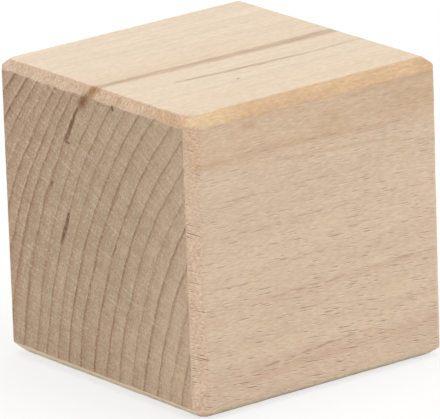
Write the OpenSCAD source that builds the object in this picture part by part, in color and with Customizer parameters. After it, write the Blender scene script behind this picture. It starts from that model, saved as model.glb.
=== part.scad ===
// Solid beech cube, planed square and sanded by hand.
// Its twelve edges are chamfered at 45 degrees, the lines where the chamfers meet the faces are
// eased, and the eight corners, where three chamfers meet, are rubbed down.
// The grain runs along X. The cube stands on its base, with the origin at the base's centre.

/* [Cube] */
// Distance between opposite faces
edge = 50; // [20:1:100]

/* [Edges and corners] */
// Set-back of each chamfer along both of the faces that it joins
chamfer = 1.8; // [1:0.1:4]
// Radius of the eased line where a chamfer meets a face
arris_radius = 0.5; // [0.1:0.05:0.8]
// Depth rubbed off the point where three chamfers meet
corner_wear = 0.9; // [0.5:0.1:2]

/* [Hidden] */

beech = [0.82, 0.70, 0.56];
half = edge / 2;

// Distance from an arris to where its easing ends, along the face and along the chamfer.
// The chamfer turns off the face by 45 degrees, so the arc spans that angle.
arris_reach = arris_radius * tan(45 / 2);
arris_reach_on_chamfer = arris_reach / sqrt(2);

// Distance along a face from its middle to the arris
flat_half = half - chamfer;

// The three chamfers at a corner meet at this distance from the middle along X, Y and Z
chamfer_meet = half - chamfer / 2;
// The rubbed corners lie on one sphere about the cube's middle
corner_sphere_radius = sqrt(3) * chamfer_meet - corner_wear;

$fn = 96;

// Section across the chamfered edges: flats, chamfers and the eased arrises between them
module eased_section() {
    // Around each corner: end of a flat, both ends of the chamfer, start of the next flat
    corner_points = [
        [half, flat_half - arris_reach],
        [half - arris_reach_on_chamfer, flat_half + arris_reach_on_chamfer],
        [flat_half + arris_reach_on_chamfer, half - arris_reach_on_chamfer],
        [flat_half - arris_reach, half],
    ];
    turned = function (point, quarter)
        [point.x * cos(90 * quarter) - point.y * sin(90 * quarter),
         point.x * sin(90 * quarter) + point.y * cos(90 * quarter)];
    polygon([for (quarter = [0:3]) for (point = corner_points) turned(point, quarter)]);

    for (quarter = [0:3])
        rotate(90 * quarter)
            for (side = [-1, 1])
                translate([half - arris_radius, side * (flat_half - arris_reach)])
                    circle(arris_radius);
}

// Bar of that section along Z, through the whole cube
module eased_bar() {
    linear_extrude(edge, center = true) eased_section();
}

// The cube is what three crossing bars share, with its corners rubbed down to a sphere
module wooden_cube() {
    color(beech)
        translate([0, 0, half])
            intersection() {
                eased_bar();
                rotate([90, 0, 0]) eased_bar();
                rotate([0, 90, 0]) eased_bar();
                sphere(corner_sphere_radius);
            }
}

wooden_cube();
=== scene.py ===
"""A solid beech cube on a pale studio floor, seen from a little above one upright edge.

The cube's mesh is the CAD cube with the small unevenness of hand work: every chamfer has its own
set-backs, and every corner its own wear. Its wood is one solid pattern in the cube's own coordinates,
so growth rings, rays and streaks run on from the end grain over the edges to the long grain.
"""

import math
from types import SimpleNamespace

import bpy
import numpy as np
from mathutils import Matrix, Vector


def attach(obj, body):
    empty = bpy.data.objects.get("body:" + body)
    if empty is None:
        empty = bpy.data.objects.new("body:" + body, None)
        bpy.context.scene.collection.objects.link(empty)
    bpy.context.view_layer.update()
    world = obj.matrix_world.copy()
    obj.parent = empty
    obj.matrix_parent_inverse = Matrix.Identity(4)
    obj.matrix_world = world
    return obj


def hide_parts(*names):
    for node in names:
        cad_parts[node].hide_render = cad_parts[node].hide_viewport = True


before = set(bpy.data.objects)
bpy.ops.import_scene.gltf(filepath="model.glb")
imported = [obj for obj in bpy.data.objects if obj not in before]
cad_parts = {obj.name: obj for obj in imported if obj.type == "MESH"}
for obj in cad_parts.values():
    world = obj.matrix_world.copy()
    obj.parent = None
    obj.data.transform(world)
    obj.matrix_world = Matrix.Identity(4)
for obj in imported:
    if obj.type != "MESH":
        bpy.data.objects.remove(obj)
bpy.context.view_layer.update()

MM = 0.001

# Sizes of the cube, in mm about its middle
EDGE = 50.0
HALF = EDGE / 2

# Faces as an axis and a direction along it
LEFT, RIGHT = (0, -1), (0, 1)
FRONT, BACK = (1, -1), (1, 1)
BASE, TOP = (2, -1), (2, 1)
FACES = (LEFT, RIGHT, FRONT, BACK, BASE, TOP)

# Each chamfer: its two faces, its set-back on the first and on the second in mm, how much wider it
# is at the positive end of its edge than at the negative end, and how far its width wavers
CHAMFERS = (
    (LEFT, FRONT, 1.77, 2.05, -0.12, 0.02),
    (LEFT, BACK, 1.2, 1.2, 0.0, 0.008),
    (RIGHT, FRONT, 0.86, 0.9, -0.38, 0.015),
    (RIGHT, BACK, 1.8, 1.7, 0.2, 0.02),
    (LEFT, TOP, 1.95, 0.95, 0.0, 0.055),
    (LEFT, BASE, 2.07, 2.5, 0.3, 0.02),
    (RIGHT, TOP, 1.5, 1.55, 0.4, 0.02),
    (RIGHT, BASE, 1.1, 1.5, -0.2, 0.02),
    (FRONT, TOP, 1.95, 1.85, 0.25, 0.025),
    (FRONT, BASE, 1.65, 2.15, 0.0, 0.02),
    (BACK, TOP, 1.7, 1.7, 0.0, 0.015),
    (BACK, BASE, 1.9, 1.8, 0.2, 0.02),
)

# The widths waver in waves of these lengths in mm, and each wave starts at a random turn
WAVER_LENGTHS = (17.0, 9.0, 5.5, 3.4)
WAVER_SEED = 11

# Each corner: its three faces, how far past the meeting of its chamfers it is rubbed down in mm, and
# how much the rubbed facet leans up or down
CORNERS = (
    (LEFT, FRONT, BASE, 0.62, 1.8),
    (LEFT, FRONT, TOP, 0.5, 2.0),
    (LEFT, BACK, BASE, 0.35, 1.0),
    (LEFT, BACK, TOP, 0.24, 2.0),
    (RIGHT, FRONT, BASE, -0.04, 1.0),
    (RIGHT, FRONT, TOP, -0.1, 1.0),
    (RIGHT, BACK, BASE, 0.5, 1.0),
    (RIGHT, BACK, TOP, 0.4, 1.5),
)

# How softly flats, chamfers and corners run into each other, in mm
EASING = 0.07

# The mesh is a lattice on each face, with shorter steps in a zone along the edges, of this width in mm
EDGE_ZONE = 4.0
EDGE_STEPS = 26
MIDDLE_STEPS = 42
# Halvings that bring each lattice point onto the worn surface
HALVINGS = 26
# Gap around each face's square of the map, as a share of the square
MAP_MARGIN = 0.012


def lattice_positions():
    """Positions along one axis from edge to edge, close together near the edges."""
    outer = np.linspace(HALF - EDGE_ZONE, HALF, EDGE_STEPS + 1)
    middle = np.linspace(EDGE_ZONE - HALF, HALF - EDGE_ZONE, MIDDLE_STEPS + 1)
    return np.concatenate([-outer[::-1], middle[1:-1], outer])


def quad_corners(values, direction):
    """What a face's lattice of values has at the four corners of each quad, in turn seen from outside."""
    corners = [(0, 0), (1, 0), (1, 1), (0, 1)]
    if direction < 0:
        corners.reverse()
    last = len(values) - 1
    return np.stack([values[i : last + i, j : last + j] for i, j in corners], 2)


def cube_lattice():
    """Welded points of a square lattice over a plain cube, its quads and each quad corner's map place."""
    positions = lattice_positions()
    count = len(positions)
    row, column = np.meshgrid(np.arange(count), np.arange(count), indexing="ij")
    indices = []
    for axis, direction in FACES:
        triple = np.zeros((count, count, 3), int)
        triple[..., axis] = 0 if direction < 0 else count - 1
        triple[..., (axis + 1) % 3] = row
        triple[..., (axis + 2) % 3] = column
        indices.append(triple.reshape(-1, 3))
    unique, number = np.unique(np.concatenate(indices), axis=0, return_inverse=True)
    number = number.reshape(len(FACES), count, count)

    # Each face is a square of the map, in a grid of three by two with a small gap between squares
    along = MAP_MARGIN + (1 - 2 * MAP_MARGIN) * (positions + HALF) / EDGE
    quads, places = [], []
    for face, (_, direction) in enumerate(FACES):
        across = (face % 3 + along[row]) / 3
        upwards = (face // 3 + along[column]) / 2
        square = np.stack([across, upwards], -1)
        quads.append(quad_corners(number[face], direction).reshape(-1, 4))
        places.append(quad_corners(square, direction).reshape(-1, 2))
    return positions[unique], np.concatenate(quads), np.concatenate(places)


def chamfer_heights(points):
    """Heights of points above each of the chamfers, in mm."""
    chance = np.random.default_rng(WAVER_SEED)
    heights = []
    for first, second, on_first, on_second, growth, waver in CHAMFERS:
        edge_axis = 3 - first[0] - second[0]
        along = points[:, edge_axis]
        widening = growth * along / EDGE
        for wavelength in WAVER_LENGTHS:
            turn = chance.uniform(0, 2 * math.pi)
            widening = widening + waver * np.sin(2 * math.pi * along / wavelength + turn)
        depth_first = HALF - first[1] * points[:, first[0]]
        depth_second = HALF - second[1] * points[:, second[0]]
        reach_first = on_second + widening
        reach_second = on_first + widening
        steepness = np.hypot(1 / reach_first, 1 / reach_second)
        heights.append((1 - depth_first / reach_first - depth_second / reach_second) / steepness)
    return heights


def corner_heights(points):
    """Heights of points above each of the rubbed corners, in mm."""
    set_backs = {}
    for first, second, on_first, on_second, *_ in CHAMFERS:
        set_backs[frozenset((first, second))] = (on_first + on_second) / 2
    heights = []
    for *corner, wear, lean in CORNERS:
        mean = sum(set_backs[frozenset(corner) - {face}] for face in corner) / 3
        meeting = HALF - mean / 2
        facing = np.array((1.0, 1.0, lean)) / math.sqrt(2 + lean**2)
        outward = [direction * points[:, axis] - meeting for axis, direction in corner]
        heights.append(facing @ np.array(outward) + wear)
    return heights


def height_outside(points):
    """Height of points above the worn cube's surface, in mm and negative inside it.

    The flats, the chamfers and the rubbed corners are joined by a soft maximum, which eases the
    lines where they meet.
    """
    flats = [direction * points[:, axis] - HALF for axis, direction in FACES]
    heights = np.array(flats + chamfer_heights(points) + corner_heights(points))
    highest = heights.max(0)
    return highest + EASING * np.log(np.exp((heights - highest) / EASING).sum(0))


def worn_cube_points(lattice):
    """Moves each lattice point in towards the middle until it lies on the worn cube's surface."""
    core_half = HALF - EDGE_ZONE
    inner = np.clip(lattice, -core_half, core_half)
    low = np.zeros(len(lattice))
    high = np.ones(len(lattice))
    for _ in range(HALVINGS):
        middle = (low + high) / 2
        outside = height_outside(inner + middle[:, None] * (lattice - inner)) > 0
        high = np.where(outside, middle, high)
        low = np.where(outside, low, middle)
    return inner + high[:, None] * (lattice - inner)


def make_cube():
    """The cube's mesh, standing on the floor, with a map for its six faces."""
    lattice, quads, places = cube_lattice()
    points = worn_cube_points(lattice) + (0, 0, HALF)
    mesh = bpy.data.meshes.new("beech_cube")
    mesh.from_pydata((points * MM).tolist(), [], quads.tolist())
    mesh.uv_layers.new(name="OFBake").data.foreach_set("uv", places.ravel())
    mesh.shade_smooth()
    cube = bpy.data.objects.new("beech_cube", mesh)
    bpy.context.scene.collection.objects.link(cube)
    return cube


class Field:
    """A value that varies over a surface: a node's output, with ordinary arithmetic."""

    def __init__(self, recipe, socket):
        self.recipe = recipe
        self.socket = socket

    def __add__(self, other):
        return self.recipe.math("ADD", self, other)

    def __sub__(self, other):
        return self.recipe.math("SUBTRACT", self, other)

    def __rsub__(self, other):
        return self.recipe.math("SUBTRACT", other, self)

    def __mul__(self, other):
        return self.recipe.math("MULTIPLY", self, other)

    def __truediv__(self, other):
        return self.recipe.math("DIVIDE", self, other)

    __radd__ = __add__
    __rmul__ = __mul__


class Recipe:
    """A node tree that is written as formulas."""

    # Places of the colour sockets and of the amount among the sockets of a Mix node
    MIX_AMOUNT, MIX_BASE, MIX_OTHER = 0, 6, 7
    MIX_RESULT = 2

    def __init__(self, owner):
        owner.use_nodes = True
        self.tree = owner.node_tree
        self.tree.nodes.clear()

    def node(self, kind, **settings):
        """A new node of a kind, with its settings."""
        made = self.tree.nodes.new("ShaderNode" + kind)
        for name, value in settings.items():
            setattr(made, name, value)
        return made

    def plug(self, socket, value):
        """Links a field to a socket, or sets a constant on it."""
        if isinstance(value, Field):
            self.tree.links.new(value.socket, socket)
        else:
            socket.default_value = value

    def out(self, node, name):
        """A node's output as a field."""
        return Field(self, node.outputs[name])

    def math(self, operation, *values):
        """The result of one of Blender's math operations."""
        node = self.node("Math", operation=operation)
        for socket, value in zip(node.inputs, values):
            self.plug(socket, value)
        return self.out(node, "Value")

    def highest(self, first, *others):
        """The highest of some values."""
        for other in others:
            first = self.math("MAXIMUM", first, other)
        return first

    def lowest(self, first, *others):
        """The lowest of some values."""
        for other in others:
            first = self.math("MINIMUM", first, other)
        return first

    def step(self, value, start, end):
        """Rises smoothly from 0 where the value is at start to 1 where it is at end."""
        node = self.node("MapRange", interpolation_type="SMOOTHSTEP")
        self.plug(node.inputs["Value"], value)
        self.plug(node.inputs["From Min"], start)
        self.plug(node.inputs["From Max"], end)
        return self.out(node, "Result")

    def coordinates(self, kind):
        """The three parts of a texture coordinate, such as Object or Normal."""
        place = self.node("TexCoord")
        parts = self.node("SeparateXYZ")
        self.tree.links.new(place.outputs[kind], parts.inputs["Vector"])
        return [self.out(parts, axis) for axis in "XYZ"]

    def vector(self, x, y, z):
        """Three values as one vector."""
        node = self.node("CombineXYZ")
        for socket, value in zip(node.inputs, (x, y, z)):
            self.plug(socket, value)
        return self.out(node, "Vector")

    def noise(self, place, sizes, detail=1.0):
        """Smooth noise about 0, mostly within a quarter, in patches of these sizes each way."""
        node = self.node("TexNoise")
        scaled = [part / size for part, size in zip(place, sizes)]
        self.plug(node.inputs["Vector"], self.vector(*scaled))
        self.plug(node.inputs["Scale"], 1.0)
        self.plug(node.inputs["Detail"], detail)
        return self.out(node, "Fac") - 0.5

    def streak(self, point, start, end, start_width, end_width, core):
        """1 in a straight streak's core, falling smoothly to 0 at its half width, which tapers."""
        run = Vector(end) - Vector(start)
        from_start = self.node("VectorMath", operation="SUBTRACT")
        self.plug(from_start.inputs[0], point)
        self.plug(from_start.inputs[1], start)
        along = self.node("VectorMath", operation="DOT_PRODUCT")
        self.tree.links.new(from_start.outputs["Vector"], along.inputs[0])
        self.plug(along.inputs[1], run / run.length_squared)
        share = self.lowest(self.highest(self.out(along, "Value"), 0.0), 1.0)
        reached = self.node("VectorMath", operation="SCALE")
        reached.inputs[0].default_value = run
        self.plug(reached.inputs["Scale"], share)
        apart = self.node("VectorMath", operation="DISTANCE")
        self.tree.links.new(from_start.outputs["Vector"], apart.inputs[0])
        self.tree.links.new(reached.outputs["Vector"], apart.inputs[1])
        width = start_width + (end_width - start_width) * share
        return self.step(self.out(apart, "Value") / width, 1.0, core)

    def curve(self, value, points):
        """Straight lines through points that lie between 0 and 1 both ways."""
        node = self.node("FloatCurve")
        self.plug(node.inputs["Value"], value)
        graph = node.mapping.curves[0]
        for place, (x, y) in enumerate(points):
            if place < 2:
                graph.points[place].location = (x, y)
            else:
                graph.points.new(x, y)
        for point in graph.points:
            point.handle_type = "VECTOR"
        node.mapping.update()
        return self.out(node, "Value")

    def blend(self, base, other, amount, mode="MIX"):
        """Base colour with so much of the other colour over it."""
        node = self.node("Mix", data_type="RGBA", blend_type=mode)
        for socket, value in ((self.MIX_BASE, base), (self.MIX_OTHER, other)):
            self.plug(node.inputs[socket], value if isinstance(value, Field) else (*value, 1.0))
        self.plug(node.inputs[self.MIX_AMOUNT], amount)
        return self.out(node, self.MIX_RESULT)

    def tint(self, base, filter_colour, amount):
        """Base colour with so much of it seen through a filter."""
        return self.blend(base, filter_colour, amount, "MULTIPLY")

    def grade(self, base, dark, light, amount):
        """Base colour moved towards dark where the amount is over 0, and towards light under 0."""
        base = self.blend(base, dark, self.highest(amount, 0.0))
        return self.blend(base, light, self.highest(0.0 - amount, 0.0))


# Growth rings on the left end grain: the pith lies outside the cube, and the rings are a little
# wider than tall. Distances from the pith are in mm, and ways round it are taken at a mean radius
PITH_Y, PITH_Z = -102.5, -10.0
RING_STRETCH = 1.15
MEAN_RADIUS = 110
# Distance at which the first year starts, distance past which the years are wider towards the base,
# and by what share for each mm down
FIRST_RING = 76.1
WIDEN_FROM = 124.0
WIDENING = 0.013
# Each year's width in mm, and the strength of the dark line that ends it
YEARS = (
    (4.0, 0.4),
    (3.2, 0.4),
    (2.9, 0.2),
    (3.35, 0.55),
    (3.55, 0.65),
    (3.0, 0.25),
    (3.3, 0.5),
    (3.2, 0.65),
    (3.3, 0.7),
    (3.75, 0.7),
    (2.95, 0.75),
    (2.9, 0.35),
    (2.8, 0.55),
    (2.7, 0.45),
    (3.4, 0.55),
    (2.2, 0.65),
    (1.8, 0.6),
    (2.2, 0.65),
    (2.0, 0.15),
    (2.1, 0.5),
    (2.2, 0.8),
    (2.8, 0.75),
    (2.6, 0.5),
    (2.6, 0.5),
)

# Rise of the rings along the grain, as a slope at the middle and its change for each mm to the back
RING_RISE = 0.025
RING_RISE_CHANGE = -0.001

# Fall of the fibres to the right, as a slope at the upper right and its changes for each mm down and left
FIBRE_FALL = -0.005
FIBRE_FALL_DOWN = 0.0022
FIBRE_FALL_LEFT = -0.0004

# Ray flecks: the height of their rows and their length in mm, how far the rows waver, how fast a fleck
# thins out across its row, and how far below it its painted highlight, a pale line, lies, in rows
FLECK_ROW = 0.4
FLECK_LENGTH = 2.2
FLECK_WAVER = 1.8
FLECK_TAPER = 0.45
HIGHLIGHT_DROP = 0.38
# Spreads the rows in the noise, so that neighbouring rows have nothing in common
ROW_SPREAD = 3.7

# Colours of the wood and of what is in it
PALE_WOOD = (0.705, 0.54, 0.392)
DARK_WOOD = (0.585, 0.432, 0.305)
EARLY_WOOD = (0.80, 0.655, 0.50)
LATE_WOOD = (0.46, 0.285, 0.18)
RING_LINE = (0.23, 0.10, 0.045)
FLECK = (0.27, 0.15, 0.08)
# Painted highlight: the pale line just below each fleck
FLECK_HIGHLIGHT = (0.86, 0.71, 0.55)
DARK_GRIT = (0.25, 0.15, 0.08)
PALE_GRIT = (1.0, 0.88, 0.72)
# Partly the top's own paler tone and partly painted light and sheen from above, blended over the top
TOP_PAINTED_SHEEN = (0.76, 0.67, 0.525)

# Filters of the golden chamfer over the front, in its darker and in its paler lines
GOLD = (0.87, 0.84, 0.745)
PALE_GOLD = (0.99, 0.945, 0.835)

# Colours of the marks in the wood
DARK_BROWN = (0.18, 0.092, 0.04)
RED_BROWN = (0.22, 0.09, 0.04)
WARM_BROWN = (0.31, 0.165, 0.07)
GOLD_BROWN = (0.37, 0.205, 0.09)
OLIVE_BROWN = (0.25, 0.155, 0.075)
BAND_BROWN = (0.44, 0.26, 0.13)
BAND_ROSE = (0.5, 0.27, 0.19)

# Marks in the wood: the colour, its strength, and the points of a route in mm with the half width there.
# First the soft patches and bands: over the left edge of the top, on the top, and on the front
BANDS = (
    (GOLD_BROWN, 1.0, ((-24.7, 0.6, 49.0, 1.45), (-24.4, 0.1, 49.6, 1.45))),
    (WARM_BROWN, 0.35, ((-25.0, 2.0, 47.9, 0.7), (-24.7, 0.9, 48.9, 0.8))),
    (RED_BROWN, 0.9, ((-25.0, 2.9, 46.9, 1.45), (-25.0, 1.9, 47.8, 1.6))),
    (WARM_BROWN, 0.35, ((-24.8, -6.3, 48.8, 0.8), (-24.5, -6.6, 49.3, 0.8))),
    (BAND_BROWN, 0.08, ((-25.0, 4.0, 50.0, 6.0), (25.0, 4.0, 50.0, 6.0))),
    (BAND_BROWN, 0.1, ((-25.0, 1.6, 50.0, 2.6), (8.0, 1.2, 50.0, 2.0))),
    (RED_BROWN, 0.12, ((-8.0, -0.8, 50.0, 0.8), (4.0, -1.1, 50.0, 1.3), (16.0, -1.3, 50.0, 1.0))),
    (BAND_ROSE, 0.35, ((-14.0, -25.0, 46.6, 1.0), (-12.5, -25.0, 46.6, 1.0))),
    # A darker brown band along the front, just below the golden chamfer
    (BAND_BROWN, 0.3, ((6.0, -25.0, 47.2, 0.6), (14.0, -25.0, 47.5, 1.1), (25.0, -25.0, 47.5, 1.3))),
    (BAND_BROWN, 0.25, ((-25.0, -25.0, 41.9, 0.6), (-5.0, -25.0, 42.1, 0.9), (15.0, -25.0, 41.1, 0.7))),
    (BAND_BROWN, 0.25, ((-8.0, -25.0, 39.9, 0.5), (0.0, -25.0, 39.5, 0.6), (17.0, -25.0, 38.4, 0.5))),
    (BAND_BROWN, 0.2, ((2.5, -25.0, 44.0, 3.5), (5.0, -25.0, 44.0, 3.5))),
    (BAND_BROWN, 0.2, ((17.5, -25.0, 44.5, 4.0), (25.0, -25.0, 44.5, 4.0))),
    (BAND_BROWN, 0.1, ((-22.0, -25.0, 17.4, 1.0), (20.0, -25.0, 18.0, 1.0))),
    (OLIVE_BROWN, 0.1, ((17.0, -25.0, 4.5, 4.0), (25.0, -25.0, 4.5, 4.0))),
    (BAND_ROSE, 0.17, ((-16.0, -25.0, 4.5, 1.0), (-4.0, -25.0, 5.8, 1.3), (25.0, -25.0, 6.5, 1.5))),
)

# Broken reddish lines along the front, where a year's late wood comes out at a slant
DASHES = (
    (RED_BROWN, 0.28, ((-19.0, -25.0, 35.2, 0.35), (21.0, -25.0, 34.9, 0.35))),
    (RED_BROWN, 0.22, ((-22.0, -25.0, 29.3, 0.3), (16.0, -25.0, 30.0, 0.35))),
    (RED_BROWN, 0.32, ((-22.0, -25.0, 21.4, 0.3), (-12.0, -25.0, 21.0, 0.3))),
    (RED_BROWN, 0.22, ((-6.0, -25.0, 22.8, 0.3), (8.0, -25.0, 23.0, 0.3), (20.0, -25.0, 22.1, 0.3))),
    (RED_BROWN, 0.32, ((-22.0, -25.0, 17.8, 0.35), (-5.0, -25.0, 17.6, 0.4), (20.0, -25.0, 18.5, 0.3))),
    (RED_BROWN, 0.4, ((-18.0, -25.0, 5.9, 0.3), (-4.0, -25.0, 7.0, 0.35), (12.0, -25.0, 8.2, 0.25))),
)

# Mineral streaks, with firm sides: on the left end grain and then on the top
STREAKS = (
    (DARK_BROWN, 0.9, ((-25.0, 3.9, 45.8, 0.35), (-25.0, 5.8, 42.6, 0.65))),
    (DARK_BROWN, 0.8, ((-25.0, 5.8, 42.6, 0.6), (-25.0, 7.3, 39.8, 0.6), (-25.0, 6.5, 39.5, 0.35))),
    (DARK_BROWN, 0.85, ((-25.0, 7.2, 27.6, 0.4), (-25.0, 8.3, 25.0, 0.7), (-25.0, 9.5, 22.3, 0.45))),
    (DARK_BROWN, 0.6, ((-25.0, 11.2, 32.1, 0.45), (-25.0, 11.7, 31.4, 0.45))),
    (DARK_BROWN, 0.9, ((-25.0, -5.2, 48.0, 0.45), (-25.0, -5.4, 47.6, 0.4))),
    (WARM_BROWN, 0.47, ((-24.3, -0.4, 50.0, 1.25), (9.0, -1.2, 50.0, 1.6), (24.0, -1.4, 50.0, 1.7))),
    (OLIVE_BROWN, 0.42, ((-13.5, -7.0, 50.0, 0.4), (-2.0, -7.95, 50.0, 0.8), (12.0, -8.6, 50.0, 0.3))),
    (OLIVE_BROWN, 0.22, ((-2.0, -7.95, 50.0, 0.4), (12.0, -8.5, 50.0, 0.8), (24.0, -8.3, 50.0, 0.5))),
    (OLIVE_BROWN, 0.45, ((-5.3, -12.4, 50.0, 0.4), (-5.0, -12.3, 50.0, 0.35))),
)

# Share of a mark's half width that has its full strength
SOFT_CORE = 0.0
FIRM_CORE = 0.3


def surface_kinds(wood, place):
    """How far a point belongs to each kind of surface, from 0 to 1, mostly by the way it faces."""
    x, y, _ = place
    face_x, face_y, face_z = wood.coordinates("Normal")
    sizes = [wood.math("ABSOLUTE", part) for part in (face_x, face_y, face_z)]
    diagonal = math.sqrt(0.5)

    # A part of the facing is 1 where the surface faces straight along that axis
    on = SimpleNamespace()
    on.top = wood.step(face_z, 0.8, 0.97)
    on.end_grain = wood.step(sizes[0], 0.93, 0.985)
    on.near_end = wood.step(sizes[0], 0.75, 0.88)
    on.chamfer = wood.step(wood.highest(*sizes), 0.97, 0.9)
    corner = wood.step(wood.lowest(*sizes), 0.2, 0.3)

    # The chamfers of the top over the front and over the left end, which meet at the near corner
    over_front = wood.step((face_z - face_y) * diagonal, 0.75, 0.86)
    right_of_corner = wood.step(x - y, -0.8, 0.0)
    on.front_top = over_front * right_of_corner
    over_left = on.near_end * (1 - on.end_grain) * wood.step(face_z, 0.2, 0.4)
    on.left_top = over_left + over_front * (1 - right_of_corner)

    # The upright chamfer between the left end and the front
    on.near_edge = wood.step((0.0 - face_x - face_y) * diagonal, 0.93, 0.98)

    # The chamfers and the corners of the base, which are painted lighter as if lit by light bounced up
    # from the floor
    downward = wood.step(face_z, -0.4, -0.6)
    on.under = downward * wood.step(face_z, -0.98, -0.9) * (1 - corner)
    on.under_left = on.under * wood.step(face_x, -0.4, -0.5)
    on.under_corner = corner * downward
    return on


def fibre_height(x, z):
    """Height at which the fibre through a point leaves the left end."""
    fall = FIBRE_FALL_DOWN * (EDGE - z) + FIBRE_FALL_LEFT * (HALF - x) + FIBRE_FALL
    return z + (x + HALF) * fall


def pith_place(wood, place, fibre_z):
    """Place as a point along the grain, a way round the pith and a distance from it, all in mm."""
    x, y, z = place
    rise = (x + HALF) * (RING_RISE + RING_RISE_CHANGE * y)
    across = y - PITH_Y
    up = (z - rise - PITH_Z) * RING_STRETCH
    distance = wood.math("SQRT", across * across + up * up)
    past = wood.highest(distance - WIDEN_FROM, 0.0)

    # The rings wander in broad waves and in small ones
    wander = 0.8 * wood.noise(place, (40, 9, 9)) + 0.38 * wood.noise(place, (12, 2.2, 2.2))
    ring = wood.lowest(distance, WIDEN_FROM) + past / (1 + WIDENING * (EDGE - z)) + wander
    around = wood.math("ARCTAN2", (fibre_z - PITH_Z) * RING_STRETCH, across) * MEAN_RADIUS
    return x, around, ring


def growth_rings(wood, from_pith):
    """Each year's pale start, its late wood and the dark line that ends it."""
    _, _, ring = from_pith
    years = len(YEARS)

    # Year count, which passes a whole number where a year starts
    ends = np.cumsum([width for width, _ in YEARS])
    knots = [(0.0, 0.0)] + [(end / ends[-1], (n + 1) / years) for n, end in enumerate(ends)]
    count = wood.curve((ring - FIRST_RING) / float(ends[-1]), knots) * years
    phase = wood.math("FRACT", count)
    middles = [((n + 0.5) / years, strength) for n, (_, strength) in enumerate(YEARS)]
    strength = wood.curve((count - phase + 0.5) / years, middles)

    # Parts of a year by its phase, from 0 where it starts to 1 where it ends. The pale start shows
    # only in the narrow outer years, where the line is broader
    patchy = 1 + 1.7 * wood.noise(from_pith, (20, 2.5, 1.5), detail=2.0)
    narrow = wood.step(ring, 122.0, 127.0)
    fade = wood.step(phase, 1.0, 0.95)
    early = wood.step(phase, 0.02, 0.07) * wood.step(phase, 0.22, 0.1) * patchy * narrow
    late = wood.step(phase, 0.3, 0.9) * fade
    line = wood.step(phase, 0.77 - 0.12 * narrow, 0.92) * fade * strength * patchy
    return early, late, line


def ray_flecks(wood, from_pith):
    """Rays cut across: dark spindles in wavering rows along the grain, and a painted highlight, a pale
    line, below each.
    """
    x, around, ring = from_pith
    rows = around / FLECK_ROW + FLECK_WAVER * wood.noise(from_pith, (8, 2, 5))
    off_row = wood.math("FRACT", rows) - 0.5
    row_place = wood.math("FLOOR", rows) * ROW_SPREAD
    ray = wood.noise((x, row_place, ring), (FLECK_LENGTH, 1, 5), detail=0.5)
    shapes = []
    for drop in (0.0, HIGHLIGHT_DROP):
        off_middle = wood.math("ABSOLUTE", off_row + drop)
        shapes.append(wood.step(ray - FLECK_TAPER * off_middle, 0.04, 0.14))
    return shapes


def ring_colours(wood, place, on, from_pith):
    """Colour of the plain wood with its growth rings, which show most on the end grain."""
    _, y, z = place
    _, _, ring = from_pith
    early, late, line = growth_rings(wood, from_pith)
    bands = wood.noise(place, (50, 3.5, 3.5), detail=3.0)
    blotches = wood.noise(place, (9, 4, 4), detail=2.0)
    colour = wood.blend(PALE_WOOD, DARK_WOOD, 0.5 + 1.3 * bands + 0.5 * blotches)

    # Slow changes of tone: outwards on the end grain, and along the top of the sides. Painted shade: the
    # end grain darker upwards and towards the back, against the brighter light there
    outer_end = wood.step(ring, 84.0, 104.0) * on.end_grain
    outermost_end = wood.step(ring, 120.0, 130.0) * on.end_grain
    painted_shade_on_end = wood.step(z, 2.0, 30.0) * wood.step(y, -22.0, -4.0) * on.end_grain
    top_right = wood.step(z, 34.0, 46.0) * wood.step(y, -6.0, -18.0) * on.end_grain
    upper_side = wood.step(z, 39.0, 42.5) * (1 - on.end_grain) * (1 - on.top) * (1 - 0.5 * on.near_end)
    tints = (
        (outer_end, (0.90, 0.886, 0.875)),
        (outermost_end, (1.00, 0.93, 0.89)),
        (painted_shade_on_end, (0.92, 0.93, 0.935)),
        (top_right, (1.03, 1.035, 1.045)),
        (upper_side, (0.957, 0.922, 0.88)),
        ((1 - late) * on.end_grain, (0.99, 1.003, 0.968)),
    )
    for share, tone in tints:
        colour = wood.tint(colour, tone, share)
    colour = wood.blend(colour, EARLY_WOOD, early * 0.22 * on.end_grain)
    colour = wood.blend(colour, LATE_WOOD, late * (0.06 + 0.3 * on.end_grain))
    return wood.blend(colour, RING_LINE, line * (0.05 + 0.68 * on.end_grain - 0.25 * top_right))


def add_flecks(wood, colour, z, on, flecks, fleck_highlights):
    """Ray flecks on the long grain, each with a painted highlight below it: strongest near the base and on
    the near edge, faint on the top.
    """
    strength = (0.67 - 0.009 * z) * (1 - 0.75 * on.top) * (1 - on.near_end) * (1 - 0.9 * on.front_top)
    strength = strength * (1 - 0.4 * wood.step(z, 41.0, 46.0))
    strength = strength * (1 + on.near_edge * (0.4 + 0.5 * wood.step(z, 12.0, 24.0)))
    # Painted highlight: a pale line just below each fleck
    colour = wood.blend(colour, FLECK_HIGHLIGHT, fleck_highlights * strength * 1.1)
    return wood.blend(colour, FLECK, flecks * strength)


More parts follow.
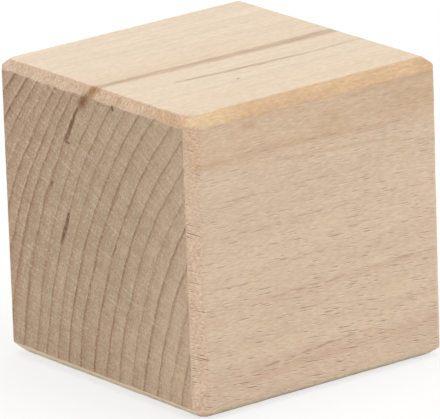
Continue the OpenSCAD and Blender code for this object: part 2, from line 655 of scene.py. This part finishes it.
def add_grit(wood, colour, place, on, from_pith, fibre):
    """Fine grit: fibres along the grain, pores and rays on the end grain, and pores on the edges."""
    _, y, _ = place
    pores = wood.noise(place, (0.8, 0.35, 0.35), detail=2.0)
    pore_rows = wood.noise(from_pith, (20, 5, 0.35))
    rays = wood.noise(from_pith, (3, 0.4, 3.5))
    long_rays = wood.step(wood.noise(from_pith, (3, 0.45, 7), detail=0.0), 0.2, 0.34)
    top_lines = wood.noise(place, (25, 0.7, 0.7), detail=2.0)
    rub_lines = wood.noise(place, (3, 0.3, 1.5), detail=2.0)
    towards_back = wood.step(y, -15.0, 15.0)
    grit = fibre * (0.6 + 0.2 * on.top) * (1 - on.end_grain)
    grit = grit + 0.4 * on.top * top_lines
    grit = grit + pores * ((1.0 + 0.25 * towards_back) * on.end_grain + 0.4 * on.left_top)
    grit = grit + pores * on.chamfer * (0.8 - 0.5 * on.front_top + 0.3 * on.near_edge)
    grit = grit + 0.7 * on.left_top * rub_lines
    grit = grit + (rays * 0.5 + pore_rows * 0.4 - long_rays * 0.16) * on.end_grain
    return wood.grade(colour, DARK_GRIT, PALE_GRIT, grit)


def tone_surfaces(wood, colour, place, on):
    """Darker end grain, rubbed chamfers and corners each with its own tone, painted bounce light on the
    chamfers and corners of the base, a painted highlight at the near end of the golden chamfer, and a top
    painted paler, partly the wood's own cream and partly painted light and sheen from above.
    """
    x, y, _ = place
    gold_lines = 0.5 + 1.6 * wood.noise(place, (6, 0.45, 0.45))

    # The chamfers of the top change along their length: the golden one is painted palest at the near
    # corner, as a highlight, and darkest at the right, and the one over the left end is palest at the back
    # and darkest in front
    tints = (
        (on.end_grain, (0.86, 0.825, 0.785)),
        (on.chamfer, (1.03, 0.98, 0.94)),
        (on.front_top, wood.blend(GOLD, PALE_GOLD, gold_lines)),
        # Painted highlight: the golden chamfer paler and yellower towards the near corner
        (on.front_top * wood.step(x, -12.0, -21.0), (1.10, 1.19, 1.21)),
        (on.front_top * wood.step(x, 20.0, 24.0), (0.92, 0.91, 0.90)),
        (on.near_edge, (1.015, 1.03, 1.05)),
        (on.left_top * wood.step(y, 2.0, 8.0), (1.01, 1.035, 1.06)),
        (on.left_top * wood.step(y, -12.0, -17.0), (0.96, 0.89, 0.81)),
        # Painted light: the chamfers and corners of the base made lighter, standing in for light bounced
        # up from the floor
        (on.under, (1.11, 1.24, 1.31)),
        (on.under_left, (1.17, 1.20, 1.16)),
        (on.under_corner, (1.24, 1.28, 1.33)),
    )
    for share, tone in tints:
        colour = wood.tint(colour, tone, share)
    # Painted light and sheen: the top made paler, partly its own tone and partly as if lit and sheened
    # from above
    colour = wood.blend(colour, TOP_PAINTED_SHEEN, on.top * 0.35)
    return wood.tint(colour, (0.965, 0.955, 0.93), on.top * wood.step(y, -12.0, -20.0))


def add_marks(wood, colour, place):
    """Bands, broken lines and streaks, with slightly ragged sides."""
    x, y, z = place
    ragged_y = y + 0.6 * wood.noise(place, (3, 1.5, 1.5))
    ragged_z = z + 0.6 * wood.noise((x, y + 13.5, z), (4, 1.5, 1.5))
    point = wood.vector(x, ragged_y, ragged_z)
    patchy = 1 + 1.6 * wood.noise(place, (7, 0.45, 0.45))
    broken = wood.step(wood.noise(place, (2.5, 0.8, 0.8)), -0.03, 0.13)
    kinds = ((BANDS, SOFT_CORE, patchy), (DASHES, SOFT_CORE, broken), (STREAKS, FIRM_CORE, patchy))
    for marks, core, cover in kinds:
        for tone, strength, route in marks:
            runs = [
                wood.streak(point, start, end, start_width, end_width, core)
                for (*start, start_width), (*end, end_width) in zip(route, route[1:])
            ]
            colour = wood.blend(colour, tone, wood.highest(*runs) * cover * strength)
    return colour


def make_beech():
    """Unfinished beech: rings and rays on the end grain, flecks on the flat, streaks on the top."""
    material = bpy.data.materials.new("beech")
    wood = Recipe(material)
    place = [part * (1 / MM) for part in wood.coordinates("Object")]
    x, y, z = place
    on = surface_kinds(wood, place)
    fibre_z = fibre_height(x, z)
    fibre = wood.noise((x, y, fibre_z), (1.2, 0.3, 0.3), detail=2.0)
    from_pith = pith_place(wood, place, fibre_z)
    flecks, fleck_highlights = ray_flecks(wood, from_pith)

    colour = ring_colours(wood, place, on, from_pith)
    colour = add_flecks(wood, colour, z, on, flecks, fleck_highlights)
    colour = add_grit(wood, colour, place, on, from_pith, fibre)
    colour = tone_surfaces(wood, colour, place, on)
    colour = add_marks(wood, colour, place)

    shader = wood.node("BsdfPrincipled")
    wood.plug(shader.inputs["Base Color"], colour)
    wood.plug(shader.inputs["Roughness"], 0.6 + 0.3 * fibre)
    shader.inputs["Specular IOR Level"].default_value = 0.25
    shader.inputs["Sheen Weight"].default_value = 0.05
    shader.inputs["Sheen Roughness"].default_value = 0.5

    # Fibres stand a little proud, and flecks lie below them
    bump = wood.node("Bump")
    bump.inputs["Distance"].default_value = 0.04 * MM
    bump.inputs["Strength"].default_value = 0.6
    wood.plug(bump.inputs["Height"], 0.6 * fibre - flecks)
    wood.tree.links.new(bump.outputs["Normal"], shader.inputs["Normal"])
    output = wood.node("OutputMaterial")
    wood.tree.links.new(shader.outputs["BSDF"], output.inputs["Surface"])
    return material


# The studio, in metres and watts: the floor's half width and paint, the share of it that is plain white
# to the camera, the room's light, and the lamps' width, places and powers
FLOOR_REACH = 4.0
FLOOR_PAINT = (0.86, 0.86, 0.86, 1.0)
FLOOR_WHITE = 0.7
ROOM_LIGHT = 0.8
LAMP_WIDTH = 1.6
LAMPS = (
    ("lamp_above", (0.1, -0.1, 2.0), 15.5),
    ("lamp_right", (1.0, -1.2, 1.25), 5.0),
)

# The camera, fitted to the photograph: its angles in degrees, its distance in metres, its focal length and
# the image's width in pixels, its sensor's width in mm, and how far its aim is off the cube's middle in mm
AZIMUTH, ELEVATION, ROLL = -37.69, 17.25, -2.08
DISTANCE = 1.290
FOCAL_PIXELS = 8030.0
IMAGE_WIDTH = 440
SENSOR_WIDTH = 36.0
ASIDE, ABOVE = -0.12, -0.54

CUBE_MIDDLE = Vector((0, 0, HALF * MM))


def seen_directly(recipe):
    """1 where the camera sees a surface, straight on, mirrored or through glass, and 0 where it only
    lights others."""
    path = recipe.node("LightPath")
    kinds = ("Is Camera Ray", "Is Glossy Ray", "Is Transmission Ray")
    return recipe.highest(*(recipe.out(path, kind) for kind in kinds))


def make_floor():
    """A wide pale floor, mostly plain white to the camera, so that shadows on it stay light."""
    mesh = bpy.data.meshes.new("floor")
    corners = [(x * FLOOR_REACH, y * FLOOR_REACH, 0) for x, y in ((-1, -1), (1, -1), (1, 1), (-1, 1))]
    mesh.from_pydata(corners, [], [(0, 1, 2, 3)])
    floor = bpy.data.objects.new("floor", mesh)
    bpy.context.scene.collection.objects.link(floor)
    material = bpy.data.materials.new("floor_paint")
    paint = Recipe(material)
    matt = paint.node("BsdfDiffuse")
    matt.inputs["Color"].default_value = FLOOR_PAINT
    white = paint.node("Emission")
    mix = paint.node("MixShader")
    paint.plug(mix.inputs["Fac"], seen_directly(paint) * FLOOR_WHITE)
    paint.tree.links.new(matt.outputs["BSDF"], mix.inputs[1])
    paint.tree.links.new(white.outputs["Emission"], mix.inputs[2])
    output = paint.node("OutputMaterial")
    paint.tree.links.new(mix.outputs["Shader"], output.inputs["Surface"])
    mesh.materials.append(material)


def make_lamp(name, place, power):
    """A large round soft lamp, aimed at the cube's middle."""
    lamp = bpy.data.lights.new(name, "AREA")
    lamp.shape = "DISK"
    lamp.size = LAMP_WIDTH
    lamp.energy = power
    softbox = bpy.data.objects.new(name, lamp)
    softbox.location = place
    aim = CUBE_MIDDLE - softbox.location
    softbox.rotation_euler = aim.to_track_quat("-Z", "Y").to_euler()
    bpy.context.scene.collection.objects.link(softbox)


def make_light():
    """A pale room, white to the camera, with one lamp above and one to the front and right."""
    world = bpy.data.worlds.new("room")
    room = Recipe(world)
    background = room.node("Background")
    room.plug(background.inputs["Color"], (1.0, 1.0, 1.0, 1.0))
    room.plug(background.inputs["Strength"], ROOM_LIGHT + (1 - ROOM_LIGHT) * seen_directly(room))
    output = room.node("OutputWorld")
    room.tree.links.new(background.outputs["Background"], output.inputs["Surface"])
    bpy.context.scene.world = world
    for name, place, power in LAMPS:
        make_lamp(name, place, power)


def make_camera():
    """The photograph's view: a long lens, a little above the cube, turned towards its near edge."""
    azimuth, elevation, roll = (math.radians(angle) for angle in (AZIMUTH, ELEVATION, ROLL))
    back = Vector(
        (
            math.sin(azimuth) * math.cos(elevation),
            -math.cos(azimuth) * math.cos(elevation),
            math.sin(elevation),
        )
    )
    level = Vector((math.cos(azimuth), math.sin(azimuth), 0))
    upright = back.cross(level)
    right = level * math.cos(roll) + upright * math.sin(roll)
    up = upright * math.cos(roll) - level * math.sin(roll)
    lens = bpy.data.cameras.new("camera")
    lens.sensor_width = SENSOR_WIDTH
    lens.lens = SENSOR_WIDTH * FOCAL_PIXELS / IMAGE_WIDTH
    camera = bpy.data.objects.new("camera", lens)
    turned = Matrix((right, up, back)).transposed().to_4x4()
    place = CUBE_MIDDLE + back * DISTANCE + right * ASIDE * MM + up * ABOVE * MM
    camera.matrix_world = Matrix.Translation(place) @ turned
    bpy.context.scene.collection.objects.link(camera)
    bpy.context.scene.camera = camera


cube = make_cube()
cube.data.materials.append(make_beech())
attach(cube, "root")
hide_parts("wooden_cube")
make_floor()
make_light()
make_camera()
bpy.context.scene.view_settings.view_transform = "Standard"
